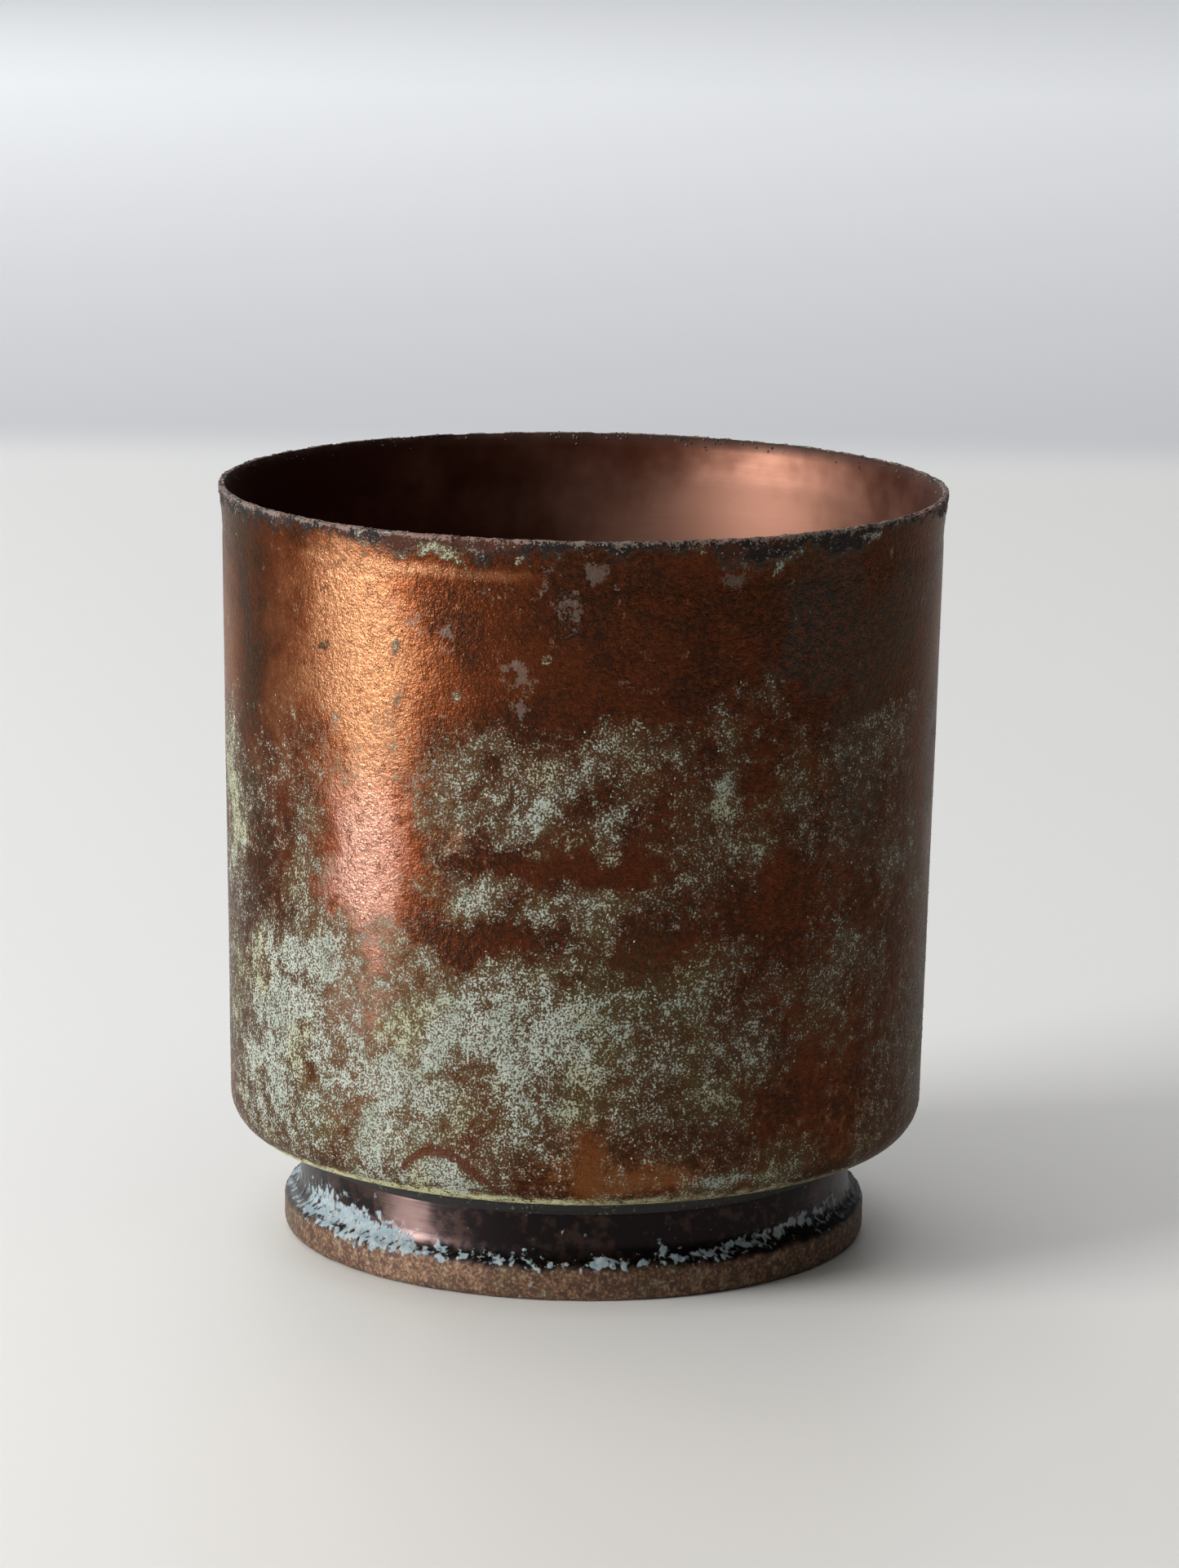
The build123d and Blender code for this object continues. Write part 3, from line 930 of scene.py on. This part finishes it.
def grain_tree():
    """Scatters flattened grains over a surface, thicker where a mask of the surface is higher."""
    tree = bpy.data.node_groups.new("scattered_grains", "GeometryNodeTree")
    inputs = (
        ("Surface", "NodeSocketObject"), ("Mask", "NodeSocketString"),
        ("Density", "NodeSocketFloat"), ("Grain Radius", "NodeSocketFloat"),
        ("Clump Size", "NodeSocketFloat"), ("Seed", "NodeSocketInt"),
        ("Finish", "NodeSocketMaterial"),
    )
    for name, kind in inputs:
        tree.interface.new_socket(name, in_out="INPUT", socket_type=kind)
    tree.interface.new_socket("Grains", in_out="OUTPUT", socket_type="NodeSocketGeometry")

    def add(kind, settings=None, sockets=None):
        return tree_node(tree, kind, settings or {}, sockets or {})

    given = add("NodeGroupInput")
    surface = add("GeometryNodeObjectInfo", {}, {"Object": given["Surface"]})
    mask = add("GeometryNodeInputNamedAttribute", {"data_type": "FLOAT"}, {"Name": given["Mask"]})
    scale = add("ShaderNodeMath", {"operation": "DIVIDE"}, {0: 1.0, 1: given["Clump Size"]})
    clump = add("ShaderNodeTexNoise", {}, {"Scale": scale[0], "Detail": 2.0})
    thick = add("ShaderNodeMapRange", {}, {"Value": clump[0], "From Min": 0.46, "From Max": 0.60})
    share = add("ShaderNodeMath", {"operation": "MULTIPLY"}, {0: mask[0], 1: thick[0]})
    density = add("ShaderNodeMath", {"operation": "MULTIPLY"}, {0: share[0], 1: given["Density"]})
    spread = add("GeometryNodeDistributePointsOnFaces", {"distribute_method": "RANDOM"},
                 {"Mesh": surface["Geometry"], "Density": density[0], "Seed": given["Seed"]})
    grain = add("GeometryNodeMeshIcoSphere", {}, {"Radius": given["Grain Radius"], "Subdivisions": 1})
    soft = add("GeometryNodeSetShadeSmooth", {}, {"Geometry": grain["Mesh"]})
    spin = add("FunctionNodeRandomValue", {"data_type": "FLOAT_VECTOR"},
               {"Max": (GRAIN_TILT, GRAIN_TILT, 2 * pi), "Seed": given["Seed"]})
    turn = add("FunctionNodeEulerToRotation", {}, {"Euler": spin[0]})
    facing = add("FunctionNodeRotateRotation", {"rotation_space": "LOCAL"},
                 {"Rotation": spread["Rotation"], "Rotate By": turn[0]})
    shape = add("FunctionNodeRandomValue", {"data_type": "FLOAT_VECTOR"},
                {"Min": FLATTEST_GRAIN, "Max": FATTEST_GRAIN, "Seed": given["Seed"]})
    grains = add("GeometryNodeInstanceOnPoints", {},
                 {"Points": spread["Points"], "Instance": soft[0], "Rotation": facing[0],
                  "Scale": shape[0]})
    real = add("GeometryNodeRealizeInstances", {}, {"Geometry": grains[0]})
    done = add("GeometryNodeSetMaterial", {}, {"Geometry": real[0], "Material": given["Finish"]})
    add("NodeGroupOutput", {}, {0: done[0]})
    return tree


def scatter(name, tree, slot, **inputs):
    """A plain mesh of grains, made by the tree from these inputs and kept inside the pot's box."""
    maker = bpy.data.objects.new(name + "_maker", bpy.data.meshes.new(name + "_maker"))
    bpy.context.scene.collection.objects.link(maker)
    modifier = maker.modifiers.new("grains", "NODES")
    modifier.node_group = tree
    for item in tree.interface.items_tree:
        key = item.name.lower().replace(" ", "_")
        if item.in_out == "INPUT" and key in inputs:
            modifier[item.identifier] = inputs[key]
    graph = bpy.context.evaluated_depsgraph_get()
    mesh = bpy.data.meshes.new_from_object(maker.evaluated_get(graph))
    bpy.data.objects.remove(maker)
    places = np.empty(len(mesh.vertices) * 3, np.float32)
    mesh.vertices.foreach_get("co", places)
    places = np.clip(places.reshape(-1, 3), np.array(cad_low), np.array(cad_high))
    mesh.vertices.foreach_set("co", places.astype(np.float32).ravel())
    piece = bpy.data.objects.new(name, mesh)
    bpy.context.scene.collection.objects.link(piece)
    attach(piece, "root")
    return piece


# ---------------------------------------------------------------- pieces

def build_cup():
    """The cup: rows lie close where the sheet bends or is in plain view, and far apart inside."""
    top = POT_HEIGHT - EDGE_RISE
    corners = (
        complex(0, BASE_HEIGHT),
        complex(FLAT_RADIUS, BASE_HEIGHT),
        complex(HEEL_RADIUS, HEEL_HEIGHT),
        complex(SHOULDER_RADIUS, top - LIP_HEIGHT),
        complex(MOUTH_RADIUS, top),
    )
    heel_zone, inner_heel_zone = 26, 24

    def spacing(point):
        if point.imag > LIP_ZONE:
            return 0.45
        if point.real < FLAT_RADIUS - 1:
            return 4.5
        if point.real < HEEL_RADIUS - 3.5:
            return 1.2
        return 0.5 if point.imag < heel_zone else 0.9

    def back_spacing(point):
        if point.imag > LIP_ZONE:
            return 0.9
        return 1.1 if point.imag < inner_heel_zone else 3.2

    def around(point, side):
        if point.real < 0.01:
            return 1
        if side != INSIDE and point.imag > LIP_ZONE:
            return ROW_1024
        if side == OUTSIDE and point.real > FLAT_RADIUS - 1:
            return ROW_512
        if point.real > 30:
            return ROW_512 if point.imag > LIP_ZONE else ROW_256
        return ROW_64 if point.real < 8 else ROW_128

    outline = sheet_section(corners, CUP_BENDS, CUP_SHEET, CUP_EDGE_ROUND, spacing, back_spacing)
    skin = Skin(outline, around)
    masks = wall_masks(skin)
    finishes = [patinated_copper(), inner_copper()]
    finish_of = np.where(skin.side == INSIDE, 1, 0)
    piece = turned_piece("cup", skin, cup_relief(skin, masks), MOUTH_RADIUS, POT_HEIGHT,
                         masks, finishes, finish_of)
    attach(piece, "root")
    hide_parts("vessel_body")
    return piece


def build_foot():
    """The foot, from the end of its rolled-in hem, out over the skirt and up to its flange."""
    corners = (
        complex(SKIRT_RADIUS - HEM_WIDTH, HEM_HEIGHT),
        complex(SKIRT_RADIUS - HEM_WIDTH, 0),
        complex(SKIRT_RADIUS, 0),
        complex(SKIRT_RADIUS, COVE_BOTTOM),
        complex(NECK_RADIUS, COVE_TOP),
        complex(NECK_RADIUS, FLANGE_HEIGHT),
        complex(FLANGE_INNER_RADIUS, FLANGE_HEIGHT),
    )

    def spacing(point):
        seen = point.real > NECK_RADIUS - 0.2 and point.imag < FLANGE_HEIGHT - 1
        return 0.28 if seen else 0.6

    def around(point, side):
        return ROW_1024 if side == OUTSIDE and point.real > NECK_RADIUS - 0.1 else ROW_512

    outline = sheet_section(corners, FOOT_BENDS, FOOT_SHEET, FOOT_EDGE_ROUND, spacing,
                            lambda point: 1.2)
    skin = Skin(outline, around)
    masks = foot_masks(skin)
    piece = turned_piece("foot", skin, foot_relief(skin, masks), MOUTH_RADIUS, FLANGE_HEIGHT,
                         masks, [blackened_copper()], np.zeros(len(skin.side)))
    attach(piece, "root")
    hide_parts("foot_ring")
    return piece


def build_solder():
    """The film between flange and cup, with a bead at its inner edge and a fillet outside."""
    toe = NECK_RADIUS + SOLDER_REACH
    wedge = BASE_HEIGHT + (toe - FLAT_RADIUS) * UNDERSIDE_SLOPE
    hollow = complex(toe + NECK_RADIUS, wedge + solder_low.z) / 2
    bend_inset = NECK_BEND * (1 - sin(pi / 4))
    corners = np.array([
        complex(FLANGE_INNER_RADIUS + SOLDER_TUCK, FLANGE_HEIGHT - FOOT_SHEET / 2),
        complex(FLANGE_INNER_RADIUS + SOLDER_TUCK, FLANGE_HEIGHT - SOLDER_TUCK),
        complex(NECK_RADIUS - NECK_BEND, FLANGE_HEIGHT - SOLDER_TUCK),
        complex(NECK_RADIUS - bend_inset, FLANGE_HEIGHT - bend_inset),
        complex(NECK_RADIUS - SOLDER_TUCK, solder_low.z),
        hollow + complex(-SOLDER_TUCK, SOLDER_TUCK),
        complex(toe, wedge),
        complex(toe - 1, wedge - UNDERSIDE_SLOPE + SOLDER_TUCK),
        complex(FLAT_RADIUS, BASE_HEIGHT + SOLDER_TUCK),
        complex(FLANGE_INNER_RADIUS - SOLDER_INNER_BEAD, BASE_HEIGHT),
        complex(FLANGE_INNER_RADIUS + SOLDER_TUCK, FLANGE_HEIGHT - FOOT_SHEET / 2 + 0.1),
    ])

    def spacing(point):
        at_bead = point.real > NECK_RADIUS - 0.5 or point.real < FLANGE_INNER_RADIUS + 0.2
        return 0.2 if at_bead else 1.5

    skin = Skin([(OUTSIDE, along(corners, spacing))], lambda point, side: ROW_512)
    beads = np.where(abs(skin.radius - SOLDER_FILM_MIDDLE) > SOLDER_FILM_HALF, 1.0, 0.0)
    relief = solder_relief(skin) * beads
    piece = turned_piece("solder_bead", skin, relief, MOUTH_RADIUS, POT_HEIGHT, {},
                         [dull_solder()], np.zeros(len(skin.side)))
    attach(piece, "root")
    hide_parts("solder_joint")
    return piece


def build_grains(cup, foot):
    """The loose grains, thickest where their mask is strongest. Densities are per square metre."""
    tree = grain_tree()
    scatter("verdigris_grains", tree, "cup_copper", surface=cup, mask="verdigris",
            density=1.6e6, grain_radius=0.15 * MM, clump_size=1.6 * MM, seed=3,
            finish=crumb_finish("verdigris_crumbs", VERDIGRIS_PALE, VERDIGRIS_MINT, 3.0))
    scatter("rim_scale", tree, "cup_copper", surface=cup, mask="crust",
            density=2.6e6, grain_radius=0.20 * MM, clump_size=1.4 * MM, seed=5,
            finish=crumb_finish("rim_crumbs", SCALE_TAN, SCALE_BLACK, 0.9))
    scatter("foot_bloom", tree, "foot_copper", surface=foot, mask="bloom",
            density=5.0e6, grain_radius=0.09 * MM, clump_size=1.2 * MM, seed=7,
            finish=crumb_finish("bloom_crumbs", BLOOM_WHITE, BLOOM_BLUE, 1.5))


# ---------------------------------------------------------------- stage, light and camera

# The floor's half width, and the distances behind the pot over which its colour turns to the
# wall's and the wall's colour turns paler as painted light, making up for the lamps' falloff, in
# metres
STAGE_REACH = 3.2
WALL_START, WALL_FULL = 0.69, 0.79
WALL_PAINTED_LIGHT_START, WALL_PAINTED_LIGHT_END = 0.8, 1.9
POT_MIDDLE = Vector((0, 0, 0.055))
WALL_FOOT = Vector((0, 2.0, 0))

# Where the camera stands, in metres. It looks down by its dip, turns a little about Z and leans
# a little about its own line of sight, in degrees. Lens and sensor are in millimetres.
CAMERA_PLACE = (0, -0.7794, 0.2228)
CAMERA_DIP = 11.625
CAMERA_TURN = -0.101
CAMERA_LEAN = 0.834
LENS = 132.0
SENSOR_WIDTH = 36.0

TABLE_WHITE = (0.790, 0.775, 0.750)
TABLE_CREAM = (0.790, 0.760, 0.715)
# The wall is paler far away than near, as painted light for the lamps' falloff
WALL_NEAR = (0.590, 0.592, 0.606)
WALL_FAR = (0.940, 0.945, 0.955)
ROOM_BLUE = (0.86, 0.90, 0.96, 1)
ROOM_GREY = (0.70, 0.705, 0.72, 1)

# Each light: name, azimuth from the camera towards +X, elevation, distance, its width and
# height, brightness, colour, and what it faces. The brightness is the light's radiance, so a
# reflection of it is that bright whatever its size.
SOFTBOXES = [
    ("window", -66, 15, 2.3, (1.08, 1.8), 13.2, (0.97, 0.985, 1.0), POT_MIDDLE),
    ("back_window", -150, 26, 2.4, (1.5, 1.1), 2.4, (0.95, 0.97, 1.0), POT_MIDDLE),
    ("ceiling", 0, 88, 2.4, (2.8, 2.8), 1.0, (1.0, 0.985, 0.965), POT_MIDDLE),
    ("wall_wash", 180, 52, 2.6, (3.2, 1.4), 1.3, (0.98, 0.99, 1.0), WALL_FOOT),
]


def table_top():
    """A pale table that turns softly to the grey of the wall behind, which is painted paler further
    back as light.
    """
    finish = Finish("pale_stage")
    depth = finish.node("ShaderNodeSeparateXYZ", {}, {"Vector": finish.place()}, "Y")
    away = finish.ramp(depth, WALL_START, WALL_FULL)
    # Painted light: the wall turns paler with distance, making up for the lamps' falloff.
    shade = finish.ramp(depth, WALL_PAINTED_LIGHT_START, WALL_PAINTED_LIGHT_END, "LINEAR")
    wall = finish.mix(shade, WALL_NEAR, WALL_FAR)
    near = finish.mix(finish.ramp(depth, 0.05, -0.12), TABLE_WHITE, TABLE_CREAM)
    colour = finish.mix(away, near, wall)
    roughness = 0.45 + away * 0.4
    normal = finish.bump(finish.noise(6.0, 2.0), 0.02, 0.05)
    return finish.done(colour, roughness, 0.0, normal)


def build_stage():
    mesh = bpy.data.meshes.new("floor")
    reach = STAGE_REACH
    corners = [(-reach, -reach, 0), (reach, -reach, 0), (reach, reach, 0), (-reach, reach, 0)]
    mesh.from_pydata(corners, [], [(0, 1, 2, 3)])
    mesh.materials.append(table_top())
    floor = bpy.data.objects.new("floor", mesh)
    bpy.context.scene.collection.objects.link(floor)


def softbox(name, azimuth, elevation, distance, size, brightness, colour, aim):
    """A rectangular light that faces its aim."""
    data = bpy.data.lights.new(name, "AREA")
    data.shape = "RECTANGLE"
    data.size, data.size_y = size
    data.energy = brightness * pi * size[0] * size[1]
    data.color = colour
    light = bpy.data.objects.new(name, data)
    turn, rise = radians(azimuth), radians(elevation)
    back = Vector((sin(turn) * cos(rise), -cos(turn) * cos(rise), sin(rise)))
    light.location = aim + back * distance
    light.rotation_euler = back.to_track_quat("Z", "Y").to_euler()
    light.visible_camera = False
    bpy.context.scene.collection.objects.link(light)


def build_room():
    """The room's dim light, stronger from the left, and a plain grey where it is looked at."""
    world = bpy.data.worlds.new("room")
    bpy.context.scene.world = world
    world.use_nodes = True
    tree = world.node_tree
    tree.nodes.clear()
    way = tree_node(tree, "ShaderNodeTexCoord", {}, {})["Generated"]
    across = tree_node(tree, "ShaderNodeSeparateXYZ", {}, {"Vector": way})["X"]
    fall = {"Value": across, "From Min": 0.5, "From Max": -0.8, "To Min": 0.03, "To Max": 0.5}
    strength = tree_node(tree, "ShaderNodeMapRange", {}, fall)[0]
    room = tree_node(tree, "ShaderNodeBackground", {}, {"Color": ROOM_BLUE, "Strength": strength})
    plain = tree_node(tree, "ShaderNodeBackground", {}, {"Color": ROOM_GREY})
    seen = tree_node(tree, "ShaderNodeLightPath", {}, {})["Is Camera Ray"]
    either = tree_node(tree, "ShaderNodeMixShader", {}, {0: seen, 1: room[0], 2: plain[0]})
    tree_node(tree, "ShaderNodeOutputWorld", {}, {"Surface": either[0]})


def build_light():
    for light in SOFTBOXES:
        softbox(*light)
    build_room()


def build_camera():
    data = bpy.data.cameras.new("camera")
    data.lens = LENS
    data.sensor_width = SENSOR_WIDTH
    camera = bpy.data.objects.new("camera", data)
    look = Euler((radians(90 - CAMERA_DIP), 0, radians(CAMERA_TURN))).to_matrix()
    lean = Matrix.Rotation(radians(CAMERA_LEAN), 3, "Z")
    camera.matrix_world = Matrix.Translation(CAMERA_PLACE) @ (look @ lean).to_4x4()
    bpy.context.scene.collection.objects.link(camera)
    bpy.context.scene.camera = camera


build_camera()
build_light()
build_stage()
cup = build_cup()
foot = build_foot()
build_solder()
build_grains(cup, foot)
bpy.context.scene.view_settings.view_transform = "Standard"
